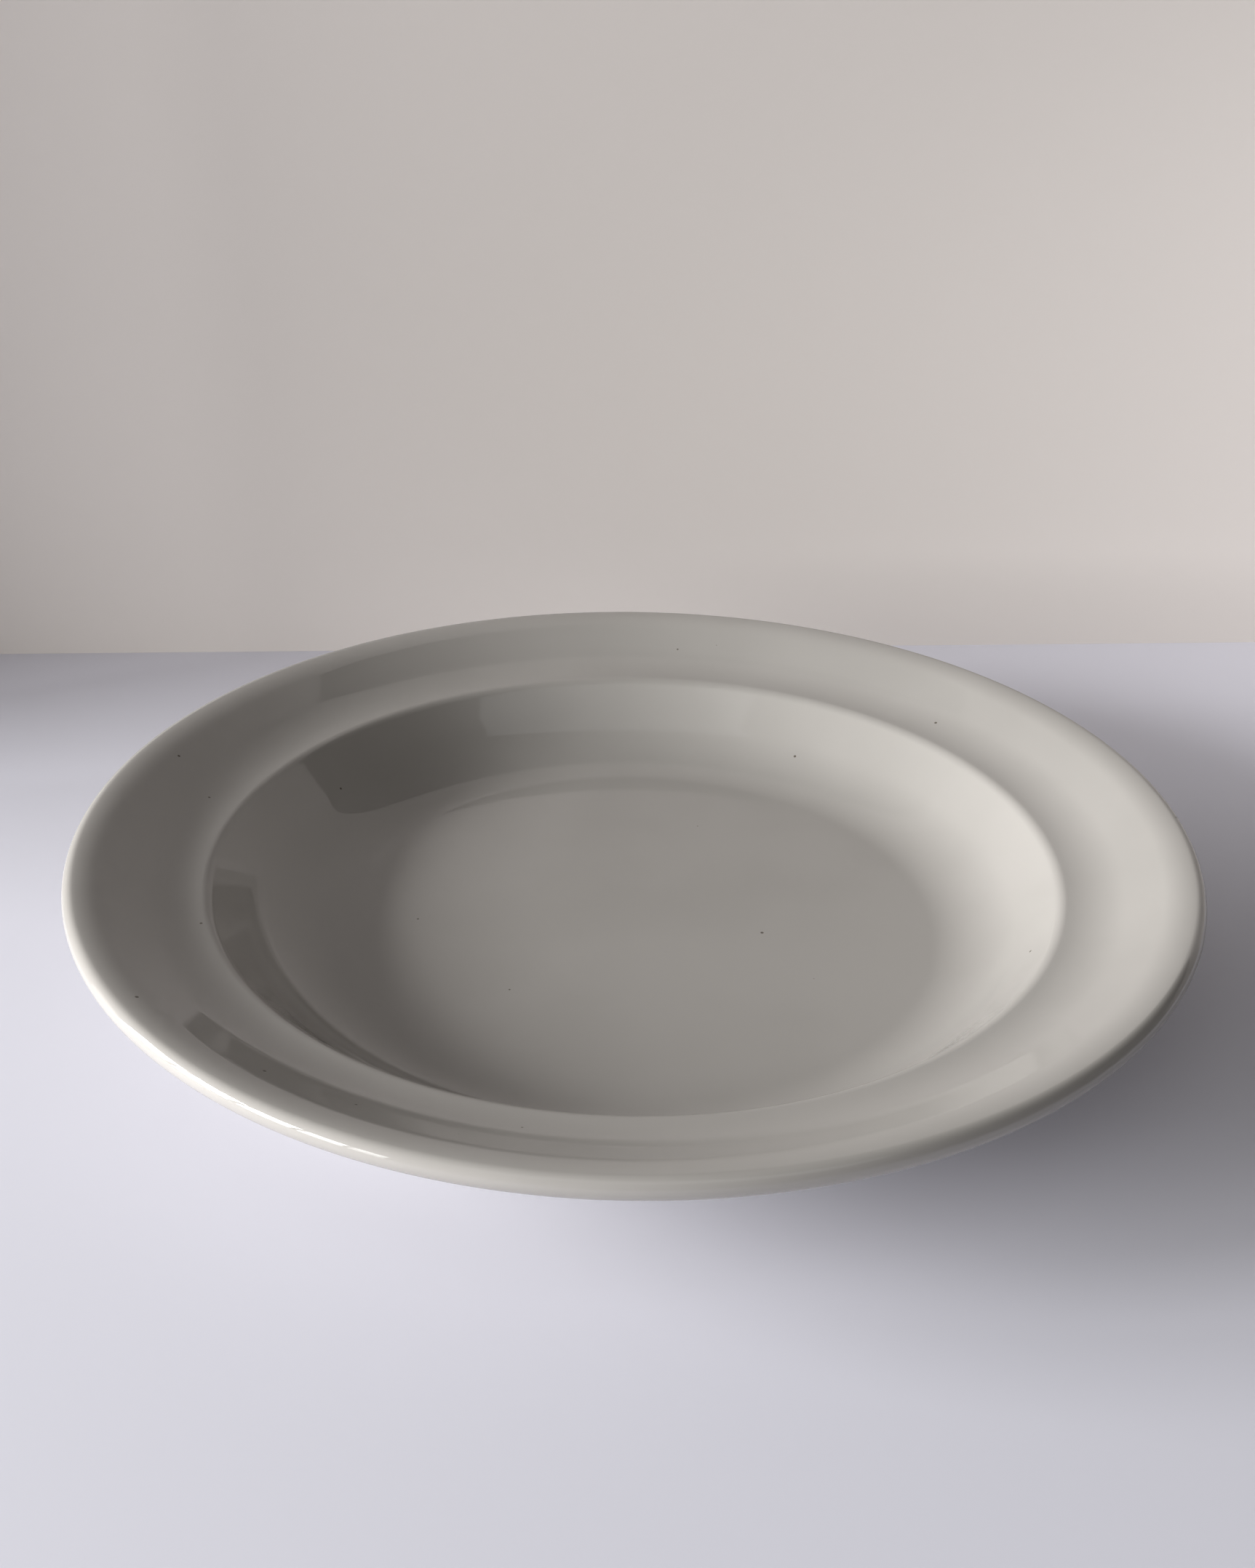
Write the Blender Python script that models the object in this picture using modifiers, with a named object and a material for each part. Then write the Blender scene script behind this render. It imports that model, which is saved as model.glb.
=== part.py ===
"""A deep dinner plate of glazed porcelain, turned as one solid.

The unit is the metre and +Z is up. The plate's axis is the Z axis, and its foot
rests on the plane z = 0. A radius is measured from the axis and a height from
that plane. Slopes are in degrees, and rise outwards, from the axis to the lip.
"""

import math

import bpy

# The whole plate.
PLATE_RADIUS = 0.135
PLATE_HEIGHT = 0.0380
LIP_UPPER_ROUND = 0.0024
LIP_UNDER_ROUND = 0.0030

# The eating side: a flat floor, a coved wall, a crest, a dished rim and a shoulder.
FLOOR_RADIUS = 0.0750
FLOOR_HEIGHT = 0.0080
UPPER_SLOPES = {"floor": 0.0, "wall": 51.0, "channel": 4.0, "rim": 29.0, "lip": 6.0}
UPPER_ROUNDS = {"cove": 0.026, "crest": 0.004, "channel": 0.031, "shoulder": 0.018}

# The underside follows it, with softer bends.
UNDER_FLOOR_HEIGHT = 0.0030
UNDER_SLOPES = {"floor": 2.0, "wall": 50.0, "channel": 8.0, "rim": 27.0, "lip": 12.0}
UNDER_ROUNDS = {"cove": 0.031, "crest": 0.008, "channel": 0.045, "shoulder": 0.024}

# The foot is a ring with a flat resting face and drawn-in sides.
FOOT_INNER_RADIUS = 0.0690
FOOT_OUTER_RADIUS = 0.0730
FOOT_SIDE_RUN = 0.0012
FOOT_EDGE_ROUND = 0.0006

# How finely the plate is cut.
TURN_STEPS = 96
UPPER_STEPS = {"cove": 7, "crest": 4, "channel": 3, "shoulder": 3}
UNDER_STEPS = {"cove": 4, "crest": 3, "channel": 2, "shoulder": 2}
LIP_STEPS = 4
FOOT_EDGE_STEPS = 2
MERGE_DISTANCE = 0.00001

GLAZE_COLOUR = (0.38, 0.36, 0.34, 1.0)
GLAZE_ROUGHNESS = 0.08


def bend(start, radius, from_slope, to_slope, steps):
    """Points along a round that turns one slope into another, without its start."""
    first = math.radians(from_slope)
    points = []
    for step in range(1, steps + 1):
        slope = first + math.radians(to_slope - from_slope) * step / steps
        out = radius * abs(math.sin(slope) - math.sin(first))
        up = radius * abs(math.cos(slope) - math.cos(first))
        points.append((start[0] + out, start[1] + up))
    return points


def straight(start, out, slope):
    """The far end of a straight stretch that reaches out by a given distance."""
    return start[0] + out, start[1] + out * math.tan(math.radians(slope))


def straight_lengths(out, up, wall_slope, rim_slope):
    """How far out the wall's and the rim's straight stretches reach, to gain this much."""
    wall_rise = math.tan(math.radians(wall_slope))
    rim_rise = math.tan(math.radians(rim_slope))
    wall_out = (up - out * rim_rise) / (wall_rise - rim_rise)
    return wall_out, out - wall_out


def face(start, end, slopes, rounds, steps):
    """One face of the plate from the edge of its floor out to the lip, as (radius, height)."""
    bends = (
        ("cove", slopes["floor"], slopes["wall"]),
        ("crest", slopes["wall"], slopes["channel"]),
        ("channel", slopes["channel"], slopes["rim"]),
        ("shoulder", slopes["rim"], slopes["lip"]),
    )
    ends = [bend((0.0, 0.0), rounds[name], first, last, 1)[0] for name, first, last in bends]
    out_left = end[0] - start[0] - sum(out for out, up in ends)
    up_left = end[1] - start[1] - sum(up for out, up in ends)
    wall_out, rim_out = straight_lengths(out_left, up_left, slopes["wall"], slopes["rim"])
    points = [start]
    for name, first, last in bends:
        if name == "crest":
            points.append(straight(points[-1], wall_out, slopes["wall"]))
        if name == "shoulder":
            points.append(straight(points[-1], rim_out, slopes["rim"]))
        points += bend(points[-1], rounds[name], first, last, steps[name])
    return points


def circle_point(centre, radius, angle):
    """The point of a circle at an angle from straight outwards, in degrees."""
    turn = math.radians(angle)
    return centre[0] + radius * math.cos(turn), centre[1] + radius * math.sin(turn)


def lip_points():
    """The lip's edge: one round above that runs on into another one below."""
    above = (PLATE_RADIUS - LIP_UPPER_ROUND, PLATE_HEIGHT - LIP_UPPER_ROUND)
    below = (PLATE_RADIUS - LIP_UNDER_ROUND, PLATE_HEIGHT - LIP_UPPER_ROUND)
    first = 90 + UPPER_SLOPES["lip"]
    last = -90 + UNDER_SLOPES["lip"]
    steps = range(LIP_STEPS + 1)
    upper = [circle_point(above, LIP_UPPER_ROUND, first * (1 - step / LIP_STEPS)) for step in steps]
    under = [circle_point(below, LIP_UNDER_ROUND, last * step / LIP_STEPS) for step in steps[1:]]
    return upper + under


def foot_points():
    """The foot's section from the underside's start, over the resting face, to the recess."""
    side_slope = math.degrees(math.atan2(UNDER_FLOOR_HEIGHT, FOOT_SIDE_RUN))
    inset = FOOT_EDGE_ROUND * math.tan(math.radians(side_slope / 2))
    outer_corner = (FOOT_OUTER_RADIUS - inset, FOOT_EDGE_ROUND)
    inner_corner = (FOOT_INNER_RADIUS + inset, FOOT_EDGE_ROUND)
    outer = []
    inner = []
    for step in range(FOOT_EDGE_STEPS + 1):
        angle = side_slope * step / FOOT_EDGE_STEPS
        outer.append(circle_point(outer_corner, FOOT_EDGE_ROUND, -90 + side_slope - angle))
        inner.append(circle_point(inner_corner, FOOT_EDGE_ROUND, -90 - angle))
    return outer + inner + [(FOOT_INNER_RADIUS - FOOT_SIDE_RUN, UNDER_FLOOR_HEIGHT)]


def plate_profile():
    """The half section, from the axis over the top and back underneath to the axis."""
    lip = lip_points()
    upper = face((FLOOR_RADIUS, FLOOR_HEIGHT), lip[0], UPPER_SLOPES, UPPER_ROUNDS, UPPER_STEPS)
    under_start = (FOOT_OUTER_RADIUS + FOOT_SIDE_RUN, UNDER_FLOOR_HEIGHT)
    under = face(under_start, lip[-1], UNDER_SLOPES, UNDER_ROUNDS, UNDER_STEPS)
    top_middle = [(0.0, FLOOR_HEIGHT), (FLOOR_RADIUS / 2, FLOOR_HEIGHT)]
    low_middle = [(FOOT_INNER_RADIUS / 2, UNDER_FLOOR_HEIGHT), (0.0, UNDER_FLOOR_HEIGHT)]
    return top_middle + upper + lip[1:-1] + under[::-1] + foot_points() + low_middle


def glaze_material():
    """The plate's grey-white glaze."""
    material = bpy.data.materials.new("glaze")
    material.use_nodes = True
    shader = material.node_tree.nodes["Principled BSDF"]
    shader.inputs["Base Color"].default_value = GLAZE_COLOUR
    shader.inputs["Roughness"].default_value = GLAZE_ROUGHNESS
    shader.inputs["Metallic"].default_value = 0.0
    return material


def turned(name, profile, collection, material):
    """An object whose half section is turned a full circle about Z."""
    mesh = bpy.data.meshes.new(name)
    corners = [(radius, 0.0, height) for radius, height in profile]
    edges = [(index, index + 1) for index in range(len(corners) - 1)]
    mesh.from_pydata(corners, edges, [])
    mesh.materials.append(material)
    piece = bpy.data.objects.new(name, mesh)
    collection.objects.link(piece)
    screw = piece.modifiers.new("turn", "SCREW")
    screw.axis = "Z"
    screw.angle = math.radians(360)
    screw.steps = TURN_STEPS
    screw.render_steps = TURN_STEPS
    screw.use_merge_vertices = True
    screw.merge_threshold = MERGE_DISTANCE
    screw.use_smooth_shade = True
    return piece


def main():
    for old in list(bpy.data.objects):
        bpy.data.objects.remove(old, do_unlink=True)
    collection = bpy.data.collections.new("deep_dinner_plate")
    bpy.context.scene.collection.children.link(collection)
    turned("plate", plate_profile(), collection, glaze_material())


main()
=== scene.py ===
"""A deep dinner plate of glazed porcelain on a pale floor, lit softly from the left.

The unit is the metre, +Z is up, and the plate's axis is the Z axis. A radius is
measured from the axis and a height from the floor. The plate's slopes are in
degrees, and rise outwards, from the axis to the lip. The camera stands in front,
at negative Y, and the window is on the left, at negative X.
"""
import math

import bpy
from mathutils import Matrix, Vector


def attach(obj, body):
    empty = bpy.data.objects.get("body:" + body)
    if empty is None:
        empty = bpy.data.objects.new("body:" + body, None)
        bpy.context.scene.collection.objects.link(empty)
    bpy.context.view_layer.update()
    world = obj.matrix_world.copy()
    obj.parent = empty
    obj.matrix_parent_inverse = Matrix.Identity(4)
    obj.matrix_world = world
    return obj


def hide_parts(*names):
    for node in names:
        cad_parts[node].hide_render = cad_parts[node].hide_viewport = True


# The plate's outline, as in the solid that it replaces.
PLATE_RADIUS = 0.135
PLATE_HEIGHT = 0.0380
LIP_UPPER_ROUND = 0.0024
LIP_UNDER_ROUND = 0.0030
FLOOR_RADIUS = 0.0750
FLOOR_HEIGHT = 0.0080
UPPER_SLOPES = {"floor": 0.0, "wall": 51.0, "channel": 4.0, "rim": 29.0, "lip": 6.0}
UPPER_ROUNDS = {"cove": 0.026, "crest": 0.004, "channel": 0.031, "shoulder": 0.018}
UNDER_FLOOR_HEIGHT = 0.0030
UNDER_SLOPES = {"floor": 2.0, "wall": 50.0, "channel": 8.0, "rim": 27.0, "lip": 12.0}
UNDER_ROUNDS = {"cove": 0.031, "crest": 0.008, "channel": 0.045, "shoulder": 0.024}
FOOT_INNER_RADIUS = 0.0690
FOOT_OUTER_RADIUS = 0.0730
FOOT_SIDE_RUN = 0.0012
FOOT_EDGE_ROUND = 0.0006

# How finely the shown surface is cut.
TURN_STEPS = 432
BEND_STEPS = {"cove": 18, "crest": 12, "channel": 12, "shoulder": 10}
LIP_STEPS = 10
FOOT_EDGE_STEPS = 5
MERGE_DISTANCE = 0.00001

# The glaze. A texture's scale is in cells per metre, and a speck's size is a share
# of a cell. A core is the inner share of a speck or a bare edge that has no blending.
GLAZE_COLOUR = (0.372, 0.354, 0.333, 1.0)
GLAZE_CLOUD_COLOUR = (0.390, 0.371, 0.350, 1.0)
GLAZE_IOR = 1.5
GLAZE_ROUGHNESS = 0.03
CLOUD_SCALE = 22.0
CLOUD_RANGE = (0.35, 0.65)
SPECK_COLOUR = (0.10, 0.085, 0.07, 1.0)
SPECK_SCALE = 70.0
SPECK_SIZE = 0.035
SPECK_CORE = 0.6
RIPPLE_SCALE = 45.0
RIPPLE_DEPTH = 0.00004

# The foot's unglazed resting face, up to this height.
BARE_COLOUR = (0.62, 0.58, 0.52, 1.0)
BARE_ROUGHNESS = 0.6
BARE_HEIGHT = 0.0011
BARE_CORE = 0.8

# The camera. In degrees, it looks down by its pitch, to the right by its yaw, and is
# turned anticlockwise by its roll.
CAMERA_PLACE = (0.0, -0.35385, 0.23029)
CAMERA_PITCH = 27.555
CAMERA_YAW = -0.305
CAMERA_ROLL = 0.784
CAMERA_NEAR = 0.01
SENSOR_HEIGHT = 36.0
FOCAL_LENGTH = 37.57

# The floor, and the backdrop behind the plate, which recedes by its skew for each
# metre to the right.
FLOOR_COLOUR = (0.73, 0.725, 0.80, 1.0)
FLOOR_ROUGHNESS = 0.7
FLOOR_SPAN = 2.4
BACKDROP_COLOUR = (0.65, 0.605, 0.575, 1.0)
BACKDROP_ROUGHNESS = 0.8
BACKDROP_DISTANCE = 0.1940
BACKDROP_SKEW = 0.0648
BACKDROP_SPAN = 2.4
BACKDROP_HEIGHT = 0.24
STAGE_SPECULAR = 0.2

# The flag, which stands on the left and reaches back to the backdrop.
FLAG_PLACE = -0.42
FLAG_START = 0.04
FLAG_HEIGHT = 0.6

# The window, cut into panes. Its columns run from behind the camera towards the
# backdrop, and its rows upwards. A share is how bright a column or a row is.
WINDOW_PLANE = -2.0
WINDOW_START = -2.4
WINDOW_SILL = 0.04
PANE_WIDTH = 0.47
PANE_HEIGHT = 0.42
PANE_GAP = 0.07
COLUMN_SHARES = (0.35, 0.6, 1.05, 1.9, 1.1)
ROW_SHARES = (0.8, 1.2)
PANE_POWER = 14.4
DAYLIGHT_COLOUR = (0.985, 0.99, 0.985)

# A wide, dim panel above and behind the camera.
PANEL_PLACE = (0.11, -0.65, 1.05)
PANEL_WIDTH = 1.26
PANEL_DEPTH = 0.55
PANEL_POWER = 1.05

# A soft-edged lamp for the floor and the backdrop behind the plate, on the right.
CORNER_LAMP_PLACE = (0.75, -0.25, 0.35)
CORNER_LAMP_AIM = (0.34, 0.20, 0.06)
CORNER_LAMP_SPREAD = 46.0
CORNER_LAMP_RADIUS = 0.05
CORNER_LAMP_POWER = 9.0

# The room's faint light from all sides.
ROOM_COLOUR = (0.110, 0.106, 0.102, 1.0)


def bend(start, radius, from_slope, to_slope, steps):
    """Points along a round that turns one slope into another, without its start."""
    first = math.radians(from_slope)
    points = []
    for step in range(1, steps + 1):
        slope = first + math.radians(to_slope - from_slope) * step / steps
        out = radius * abs(math.sin(slope) - math.sin(first))
        up = radius * abs(math.cos(slope) - math.cos(first))
        points.append((start[0] + out, start[1] + up))
    return points


def straight(start, out, slope):
    """The far end of a straight stretch that reaches out by a given distance."""
    return start[0] + out, start[1] + out * math.tan(math.radians(slope))


def straight_lengths(out, up, wall_slope, rim_slope):
    """How far out the wall's and the rim's straight stretches reach, to gain this much."""
    wall_rise = math.tan(math.radians(wall_slope))
    rim_rise = math.tan(math.radians(rim_slope))
    wall_out = (up - out * rim_rise) / (wall_rise - rim_rise)
    return wall_out, out - wall_out


def face(start, end, slopes, rounds):
    """One face of the plate from the edge of its floor out to the lip, as (radius, height)."""
    bends = (
        ("cove", slopes["floor"], slopes["wall"]),
        ("crest", slopes["wall"], slopes["channel"]),
        ("channel", slopes["channel"], slopes["rim"]),
        ("shoulder", slopes["rim"], slopes["lip"]),
    )
    ends = [bend((0.0, 0.0), rounds[name], first, last, 1)[0] for name, first, last in bends]
    out_left = end[0] - start[0] - sum(out for out, up in ends)
    up_left = end[1] - start[1] - sum(up for out, up in ends)
    wall_out, rim_out = straight_lengths(out_left, up_left, slopes["wall"], slopes["rim"])
    points = [start]
    for name, first, last in bends:
        if name == "crest":
            points.append(straight(points[-1], wall_out, slopes["wall"]))
        if name == "shoulder":
            points.append(straight(points[-1], rim_out, slopes["rim"]))
        points += bend(points[-1], rounds[name], first, last, BEND_STEPS[name])
    return points


def circle_point(centre, radius, angle):
    """The point of a circle at an angle from straight outwards, in degrees."""
    turn = math.radians(angle)
    return centre[0] + radius * math.cos(turn), centre[1] + radius * math.sin(turn)


def lip_points():
    """The lip's edge: one round above that runs on into another one below."""
    above = (PLATE_RADIUS - LIP_UPPER_ROUND, PLATE_HEIGHT - LIP_UPPER_ROUND)
    below = (PLATE_RADIUS - LIP_UNDER_ROUND, PLATE_HEIGHT - LIP_UPPER_ROUND)
    first = 90 + UPPER_SLOPES["lip"]
    last = -90 + UNDER_SLOPES["lip"]
    steps = range(LIP_STEPS + 1)
    upper = [circle_point(above, LIP_UPPER_ROUND, first * (1 - step / LIP_STEPS)) for step in steps]
    under = [circle_point(below, LIP_UNDER_ROUND, last * step / LIP_STEPS) for step in steps[1:]]
    return upper + under


def foot_points():
    """The foot's section from the underside's start, over the resting face, to the recess."""
    side_slope = math.degrees(math.atan2(UNDER_FLOOR_HEIGHT, FOOT_SIDE_RUN))
    inset = FOOT_EDGE_ROUND * math.tan(math.radians(side_slope / 2))
    outer_corner = (FOOT_OUTER_RADIUS - inset, FOOT_EDGE_ROUND)
    inner_corner = (FOOT_INNER_RADIUS + inset, FOOT_EDGE_ROUND)
    outer = []
    inner = []
    for step in range(FOOT_EDGE_STEPS + 1):
        angle = side_slope * step / FOOT_EDGE_STEPS
        outer.append(circle_point(outer_corner, FOOT_EDGE_ROUND, -90 + side_slope - angle))
        inner.append(circle_point(inner_corner, FOOT_EDGE_ROUND, -90 - angle))
    return outer + inner + [(FOOT_INNER_RADIUS - FOOT_SIDE_RUN, UNDER_FLOOR_HEIGHT)]


def plate_profile():
    """The half section, from the axis over the top and back underneath to the axis."""
    lip = lip_points()
    upper = face((FLOOR_RADIUS, FLOOR_HEIGHT), lip[0], UPPER_SLOPES, UPPER_ROUNDS)
    under_start = (FOOT_OUTER_RADIUS + FOOT_SIDE_RUN, UNDER_FLOOR_HEIGHT)
    under = face(under_start, lip[-1], UNDER_SLOPES, UNDER_ROUNDS)
    top_middle = [(0.0, FLOOR_HEIGHT), (FLOOR_RADIUS / 2, FLOOR_HEIGHT)]
    low_middle = [(FOOT_INNER_RADIUS / 2, UNDER_FLOOR_HEIGHT), (0.0, UNDER_FLOOR_HEIGHT)]
    return top_middle + upper + lip[1:-1] + under[::-1] + foot_points() + low_middle


def turned_plate(material):
    """The plate, turned from its half section and riding where the solid does."""
    mesh = bpy.data.meshes.new("glazed_plate")
    corners = [(radius, 0.0, height) for radius, height in plate_profile()]
    edges = [(index, index + 1) for index in range(len(corners) - 1)]
    mesh.from_pydata(corners, edges, [])
    mesh.materials.append(material)
    plate = bpy.data.objects.new("glazed_plate", mesh)
    bpy.context.scene.collection.objects.link(plate)
    screw = plate.modifiers.new("turn", "SCREW")
    screw.axis = "Z"
    screw.angle = math.radians(360)
    screw.steps = TURN_STEPS
    screw.render_steps = TURN_STEPS
    screw.use_merge_vertices = True
    screw.merge_threshold = MERGE_DISTANCE
    screw.use_smooth_shade = True
    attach(plate, "root")
    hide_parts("plate")


def texture(material, kind, place, scale):
    """A texture node of this kind, laid out in metres on the plate."""
    node = material.node_tree.nodes.new(kind)
    node.inputs["Scale"].default_value = scale
    material.node_tree.links.new(place, node.inputs["Vector"])
    return node


def eased(material, value, low, high, start, end):
    """A value's smooth passage from start to end, while the input goes from low to high."""
    node = material.node_tree.nodes.new("ShaderNodeMapRange")
    node.interpolation_type = "SMOOTHSTEP"
    node.inputs["From Min"].default_value = low
    node.inputs["From Max"].default_value = high
    node.inputs["To Min"].default_value = start
    node.inputs["To Max"].default_value = end
    material.node_tree.links.new(value, node.inputs["Value"])
    return node.outputs["Result"]


def mixed(material, share, first, second):
    """A colour that goes from the first to the second as the share goes from 0 to 1."""
    node = material.node_tree.nodes.new("ShaderNodeMix")
    node.data_type = "RGBA"
    links = material.node_tree.links
    links.new(share, node.inputs["Factor"])
    for socket, colour in ((node.inputs["A"], first), (node.inputs["B"], second)):
        if isinstance(colour, tuple):
            socket.default_value = colour
        else:
            links.new(colour, socket)
    return node.outputs["Result"]


def clouds_and_specks(material, place):
    """The glaze's colour: faint clouds, with a few dark specks in it."""
    clouds = texture(material, "ShaderNodeTexNoise", place, CLOUD_SCALE)
    cloudy = eased(material, clouds.outputs["Fac"], *CLOUD_RANGE, 0.0, 1.0)
    specks = texture(material, "ShaderNodeTexVoronoi", place, SPECK_SCALE)
    core = SPECK_SIZE * SPECK_CORE
    specked = eased(material, specks.outputs["Distance"], core, SPECK_SIZE, 1.0, 0.0)
    colour = mixed(material, cloudy, GLAZE_COLOUR, GLAZE_CLOUD_COLOUR)
    return mixed(material, specked, colour, SPECK_COLOUR)


def glaze_material():
    """A light warm-grey gloss glaze with a soft ripple, and bare porcelain under the foot."""
    material = bpy.data.materials.new("glaze")
    material.use_nodes = True
    nodes = material.node_tree.nodes
    links = material.node_tree.links
    place = nodes.new("ShaderNodeTexCoord").outputs["Object"]
    height = nodes.new("ShaderNodeSeparateXYZ")
    links.new(place, height.inputs["Vector"])
    bare = eased(material, height.outputs["Z"], BARE_HEIGHT * BARE_CORE, BARE_HEIGHT, 1.0, 0.0)
    colour = mixed(material, bare, clouds_and_specks(material, place), BARE_COLOUR)
    roughness = eased(material, bare, 0.0, 1.0, GLAZE_ROUGHNESS, BARE_ROUGHNESS)

    ripple = texture(material, "ShaderNodeTexNoise", place, RIPPLE_SCALE)
    bump = nodes.new("ShaderNodeBump")
    bump.inputs["Distance"].default_value = RIPPLE_DEPTH
    links.new(ripple.outputs["Fac"], bump.inputs["Height"])

    shader = nodes["Principled BSDF"]
    shader.inputs["IOR"].default_value = GLAZE_IOR
    links.new(colour, shader.inputs["Base Color"])
    links.new(roughness, shader.inputs["Roughness"])
    links.new(bump.outputs["Normal"], shader.inputs["Normal"])
    return material


def plain_material(name, colour, roughness):
    """A plain matt material for the stage."""
    material = bpy.data.materials.new(name)
    material.use_nodes = True
    shader = material.node_tree.nodes["Principled BSDF"]
    shader.inputs["Base Color"].default_value = colour
    shader.inputs["Roughness"].default_value = roughness
    shader.inputs["Specular IOR Level"].default_value = STAGE_SPECULAR
    return material


def see_through_from_behind(material):
    """Let a sheet show only from its front, so that from behind it hides nothing."""
    nodes = material.node_tree.nodes
    links = material.node_tree.links
    side = nodes.new("ShaderNodeNewGeometry")
    clear = nodes.new("ShaderNodeBsdfTransparent")
    mix = nodes.new("ShaderNodeMixShader")
    links.new(side.outputs["Backfacing"], mix.inputs[0])
    links.new(nodes["Principled BSDF"].outputs["BSDF"], mix.inputs[1])
    links.new(clear.outputs["BSDF"], mix.inputs[2])
    links.new(mix.outputs["Shader"], nodes["Material Output"].inputs["Surface"])


def flat_sheet(name, corners, material):
    """A flat piece of the stage. Its front is where its corners run anticlockwise."""
    mesh = bpy.data.meshes.new(name)
    mesh.from_pydata(corners, [], [(0, 1, 2, 3)])
    mesh.materials.append(material)
    sheet = bpy.data.objects.new(name, mesh)
    bpy.context.scene.collection.objects.link(sheet)


def backdrop_point(across, height):
    """The backdrop's point this far to the right of the plate's axis and this high."""
    return across, BACKDROP_DISTANCE + across * BACKDROP_SKEW, height


def pale_floor():
    """The pale floor that the plate stands on."""
    material = plain_material("floor", FLOOR_COLOUR, FLOOR_ROUGHNESS)
    see_through_from_behind(material)
    half = FLOOR_SPAN / 2
    corners = [(-half, -half, 0.0), (half, -half, 0.0), (half, half, 0.0), (-half, half, 0.0)]
    flat_sheet("floor", corners, material)


def backdrop():
    """The pale wall behind the plate."""
    material = plain_material("backdrop", BACKDROP_COLOUR, BACKDROP_ROUGHNESS)
    see_through_from_behind(material)
    half = BACKDROP_SPAN / 2
    corners = [
        backdrop_point(-half, 0.0),
        backdrop_point(half, 0.0),
        backdrop_point(half, BACKDROP_HEIGHT),
        backdrop_point(-half, BACKDROP_HEIGHT),
    ]
    flat_sheet("backdrop", corners, material)


def flag():
    """A sheet that shades the backdrop's left end from the window."""
    material = plain_material("flag", BACKDROP_COLOUR, BACKDROP_ROUGHNESS)
    corners = [
        (FLAG_PLACE, FLAG_START, 0.0),
        backdrop_point(FLAG_PLACE, 0.0),
        backdrop_point(FLAG_PLACE, FLAG_HEIGHT),
        (FLAG_PLACE, FLAG_START, FLAG_HEIGHT),
    ]
    flat_sheet("flag", corners, material)


def camera():
    """The camera, at the photo's viewing angle."""
    pitch = math.radians(CAMERA_PITCH)
    yaw = math.radians(CAMERA_YAW)
    roll = math.radians(CAMERA_ROLL)
    ahead = Vector((math.sin(yaw), math.cos(yaw), 0.0))
    forward = math.cos(pitch) * ahead - math.sin(pitch) * Vector((0.0, 0.0, 1.0))
    level = Vector((math.cos(yaw), -math.sin(yaw), 0.0))
    upright = level.cross(forward)
    right = math.cos(roll) * level + math.sin(roll) * upright
    up = -math.sin(roll) * level + math.cos(roll) * upright
    data = bpy.data.cameras.new("camera")
    data.sensor_fit = "VERTICAL"
    data.sensor_height = SENSOR_HEIGHT
    data.lens = FOCAL_LENGTH
    data.clip_start = CAMERA_NEAR
    view = bpy.data.objects.new("camera", data)
    turn = Matrix((right, up, -forward)).transposed()
    view.matrix_world = Matrix.Translation(CAMERA_PLACE) @ turn.to_4x4()
    bpy.context.scene.collection.objects.link(view)
    bpy.context.scene.camera = view


def hang_lamp(data, place, direction):
    """Put a lamp at a place, shining in a direction."""
    lamp = bpy.data.objects.new(data.name, data)
    lamp.location = place
    lamp.rotation_euler = direction.to_track_quat("-Z", "Y").to_euler()
    bpy.context.scene.collection.objects.link(lamp)


def area_light(name, place, direction, size, power):
    """A flat rectangular lamp, with its size as width and height."""
    data = bpy.data.lights.new(name, "AREA")
    data.shape = "RECTANGLE"
    data.size, data.size_y = size
    data.energy = power
    data.color = DAYLIGHT_COLOUR
    hang_lamp(data, place, direction)


def window():
    """The window's panes, side by side and one above the other, facing right."""
    to_the_right = Vector((1.0, 0.0, 0.0))
    for column, column_share in enumerate(COLUMN_SHARES):
        for row, row_share in enumerate(ROW_SHARES):
            along = WINDOW_START + (column + 0.5) * (PANE_WIDTH + PANE_GAP)
            above = WINDOW_SILL + (row + 0.5) * (PANE_HEIGHT + PANE_GAP)
            place = (WINDOW_PLANE, along, above)
            power = PANE_POWER * column_share * row_share
            size = (PANE_WIDTH, PANE_HEIGHT)
            area_light(f"pane_{column}_{row}", place, to_the_right, size, power)


def overhead_panel():
    """The dim panel, facing down."""
    downwards = Vector((0.0, 0.0, -1.0))
    area_light("panel", PANEL_PLACE, downwards, (PANEL_WIDTH, PANEL_DEPTH), PANEL_POWER)


def corner_lamp():
    """The lamp for the corner behind the plate, with an edge as soft as can be."""
    data = bpy.data.lights.new("corner_lamp", "SPOT")
    data.energy = CORNER_LAMP_POWER
    data.spot_size = math.radians(CORNER_LAMP_SPREAD)
    data.spot_blend = 1.0
    data.shadow_soft_size = CORNER_LAMP_RADIUS
    hang_lamp(data, CORNER_LAMP_PLACE, Vector(CORNER_LAMP_AIM) - Vector(CORNER_LAMP_PLACE))


def room_light():
    """An even light from all sides."""
    world = bpy.data.worlds.new("room")
    bpy.context.scene.world = world
    world.use_nodes = True
    world.node_tree.nodes["Background"].inputs["Color"].default_value = ROOM_COLOUR


bpy.context.scene.view_settings.view_transform = "Standard"
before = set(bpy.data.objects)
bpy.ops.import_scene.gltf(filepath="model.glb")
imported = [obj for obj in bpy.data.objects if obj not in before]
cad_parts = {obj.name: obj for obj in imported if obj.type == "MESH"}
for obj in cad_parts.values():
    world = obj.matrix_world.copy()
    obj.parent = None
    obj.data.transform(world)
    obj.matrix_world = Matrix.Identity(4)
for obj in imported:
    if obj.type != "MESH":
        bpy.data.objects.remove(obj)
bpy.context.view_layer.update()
camera()
pale_floor()
backdrop()
flag()
window()
overhead_panel()
corner_lamp()
room_light()
turned_plate(glaze_material())
